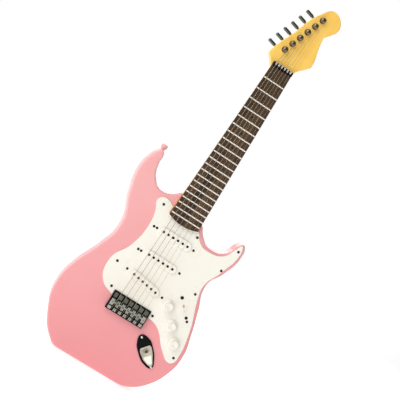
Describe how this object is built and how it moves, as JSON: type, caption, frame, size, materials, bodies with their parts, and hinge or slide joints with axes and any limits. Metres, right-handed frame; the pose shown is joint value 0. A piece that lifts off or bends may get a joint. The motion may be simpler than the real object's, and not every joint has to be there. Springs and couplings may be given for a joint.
{
  "type": "toy electric guitar",
  "caption": "Child-size toy electric guitar with a hollow double-cutaway body, a bolted neck, geared tuners, turning knobs, a selector lever and a battery-powered speaker.",
  "frame": {"origin": "on the flat bottom end of the body, under the centre line of the strings, midway between the body's faces", "axes": "+Z along the neck towards the headstock, +X towards the treble side, the strings face -Y"},
  "size_m": [0.2425, 0.0613, 0.7018],
  "materials": {
    "pink_plastic": "glossy salmon-pink moulded plastic",
    "ivory_plastic": "smooth ivory plastic",
    "maple": "satin varnished pale maple",
    "rosewood": "open-grained dark brown wood",
    "black_plastic": "black plastic",
    "chrome": "bright plating",
    "steel": "plain steel",
    "circuit_board": "green lacquered laminate",
    "speaker_paper": "black pressed paper",
    "battery_jacket": "plain dark jacket over a steel can"
  },
  "bodies": {
    "guitar_body": {"body_front": "pink_plastic", "body_back": "pink_plastic", "pickguard": "ivory_plastic", "pickup_cover_neck": "ivory_plastic", "pickup_poles_neck": "steel", "pickup_cover_middle": "ivory_plastic", "pickup_poles_middle": "steel", "pickup_cover_bridge": "ivory_plastic", "pickup_poles_bridge": "steel", "bridge_plate": "black_plastic", "saddle_1": "chrome", "saddle_2": "chrome", "saddle_3": "chrome", "saddle_4": "chrome", "saddle_5": "chrome", "saddle_6": "chrome", "string_1": "steel", "string_2": "steel", "string_3": "steel", "string_4": "steel", "string_5": "steel", "string_6": "steel", "neck": "maple", "fingerboard": "rosewood", "nut": "black_plastic", "neck_plate": "chrome", "neck_screw_1": "steel", "neck_screw_2": "steel", "neck_screw_3": "steel", "neck_screw_4": "steel", "tuner_plate": "chrome", "selector_body": "black_plastic", "jack_plate": "black_plastic", "jack_dish": "chrome", "jack_socket": "black_plastic", "circuit_board": "circuit_board", "speaker_frame": "steel", "speaker_cone": "speaker_paper", "battery_1": "battery_jacket", "battery_2": "battery_jacket", "battery_spring": "steel", "battery_contact": "steel"},
    "tuner_post_1": {"tuner_post_1": "chrome"},
    "tuner_post_2": {"tuner_post_2": "chrome"},
    "tuner_post_3": {"tuner_post_3": "chrome"},
    "tuner_post_4": {"tuner_post_4": "chrome"},
    "tuner_post_5": {"tuner_post_5": "chrome"},
    "tuner_post_6": {"tuner_post_6": "chrome"},
    "tuner_peg_1": {"tuner_peg_1": "black_plastic"},
    "tuner_peg_2": {"tuner_peg_2": "black_plastic"},
    "tuner_peg_3": {"tuner_peg_3": "black_plastic"},
    "tuner_peg_4": {"tuner_peg_4": "black_plastic"},
    "tuner_peg_5": {"tuner_peg_5": "black_plastic"},
    "tuner_peg_6": {"tuner_peg_6": "black_plastic"},
    "volume_knob": {"volume_knob": "ivory_plastic"},
    "tone_knob_upper": {"tone_knob_upper": "ivory_plastic"},
    "tone_knob_lower": {"tone_knob_lower": "ivory_plastic"},
    "selector_lever": {"selector_lever": "ivory_plastic"},
    "battery_door": {"battery_door": "pink_plastic"},
    "power_slider": {"power_slider": "black_plastic"}
  },
  "joints": [
    {"name": "volume_knob_turn", "type": "hinge", "parent": "guitar_body", "child": "volume_knob", "pos_m": [0.0538, -0.023, 0.153], "axis": [0, -1, 0], "range_deg": [-140, 140]},
    {"name": "tone_knob_upper_turn", "type": "hinge", "parent": "guitar_body", "child": "tone_knob_upper", "pos_m": [0.0758, -0.023, 0.128], "axis": [0, -1, 0], "range_deg": [-140, 140]},
    {"name": "tone_knob_lower_turn", "type": "hinge", "parent": "guitar_body", "child": "tone_knob_lower", "pos_m": [0.0948, -0.023, 0.105], "axis": [0, -1, 0], "range_deg": [-140, 140]},
    {"name": "selector_swing", "type": "hinge", "parent": "guitar_body", "child": "selector_lever", "pos_m": [0.0773, -0.013, 0.1635], "axis": [0.7218, 0, 0.6921], "range_deg": [-18, 18]},
    {"name": "tuner_peg_1_turn", "type": "hinge", "parent": "guitar_body", "child": "tuner_peg_1", "pos_m": [-0.01477, -0.0087, 0.60093], "axis": [-0.97, 0, 0.243], "continuous": true},
    {"name": "tuner_post_1_turn", "type": "hinge", "parent": "guitar_body", "child": "tuner_post_1", "pos_m": [-0.0137, -0.0245, 0.6052], "axis": [0, -1, 0], "continuous": true},
    {"name": "tuner_peg_2_turn", "type": "hinge", "parent": "guitar_body", "child": "tuner_peg_2", "pos_m": [-0.00937, -0.0087, 0.61553], "axis": [-0.97, 0, 0.243], "continuous": true},
    {"name": "tuner_post_2_turn", "type": "hinge", "parent": "guitar_body", "child": "tuner_post_2", "pos_m": [-0.0083, -0.0245, 0.6198], "axis": [0, -1, 0], "continuous": true},
    {"name": "tuner_peg_3_turn", "type": "hinge", "parent": "guitar_body", "child": "tuner_peg_3", "pos_m": [-0.00397, -0.0087, 0.63013], "axis": [-0.97, 0, 0.243], "continuous": true},
    {"name": "tuner_post_3_turn", "type": "hinge", "parent": "guitar_body", "child": "tuner_post_3", "pos_m": [-0.0029, -0.0245, 0.6344], "axis": [0, -1, 0], "continuous": true},
    {"name": "tuner_peg_4_turn", "type": "hinge", "parent": "guitar_body", "child": "tuner_peg_4", "pos_m": [0.00143, -0.0087, 0.64473], "axis": [-0.97, 0, 0.243], "continuous": true},
    {"name": "tuner_post_4_turn", "type": "hinge", "parent": "guitar_body", "child": "tuner_post_4", "pos_m": [0.0025, -0.0245, 0.649], "axis": [0, -1, 0], "continuous": true},
    {"name": "tuner_peg_5_turn", "type": "hinge", "parent": "guitar_body", "child": "tuner_peg_5", "pos_m": [0.00683, -0.0087, 0.65933], "axis": [-0.97, 0, 0.243], "continuous": true},
    {"name": "tuner_post_5_turn", "type": "hinge", "parent": "guitar_body", "child": "tuner_post_5", "pos_m": [0.0079, -0.0245, 0.6636], "axis": [0, -1, 0], "continuous": true},
    {"name": "tuner_peg_6_turn", "type": "hinge", "parent": "guitar_body", "child": "tuner_peg_6", "pos_m": [0.01223, -0.0087, 0.67393], "axis": [-0.97, 0, 0.243], "continuous": true},
    {"name": "tuner_post_6_turn", "type": "hinge", "parent": "guitar_body", "child": "tuner_post_6", "pos_m": [0.0133, -0.0245, 0.6782], "axis": [0, -1, 0], "continuous": true},
    {"name": "battery_door_hinge", "type": "hinge", "parent": "guitar_body", "child": "battery_door", "pos_m": [0, 0.0199, 0.033], "axis": [-1, 0, 0], "range_deg": [0, 90]},
    {"name": "power_slider_travel", "type": "slide", "parent": "guitar_body", "child": "power_slider", "axis": [1, 0, 0], "range_m": [0, 0.004]}
  ],
  "couplings": [
    {"joint": "tuner_post_1_turn", "follows": "tuner_peg_1_turn", "ratio": 0.071429},
    {"joint": "tuner_post_2_turn", "follows": "tuner_peg_2_turn", "ratio": 0.071429},
    {"joint": "tuner_post_3_turn", "follows": "tuner_peg_3_turn", "ratio": 0.071429},
    {"joint": "tuner_post_4_turn", "follows": "tuner_peg_4_turn", "ratio": 0.071429},
    {"joint": "tuner_post_5_turn", "follows": "tuner_peg_5_turn", "ratio": 0.071429},
    {"joint": "tuner_post_6_turn", "follows": "tuner_peg_6_turn", "ratio": 0.071429}
  ]
}
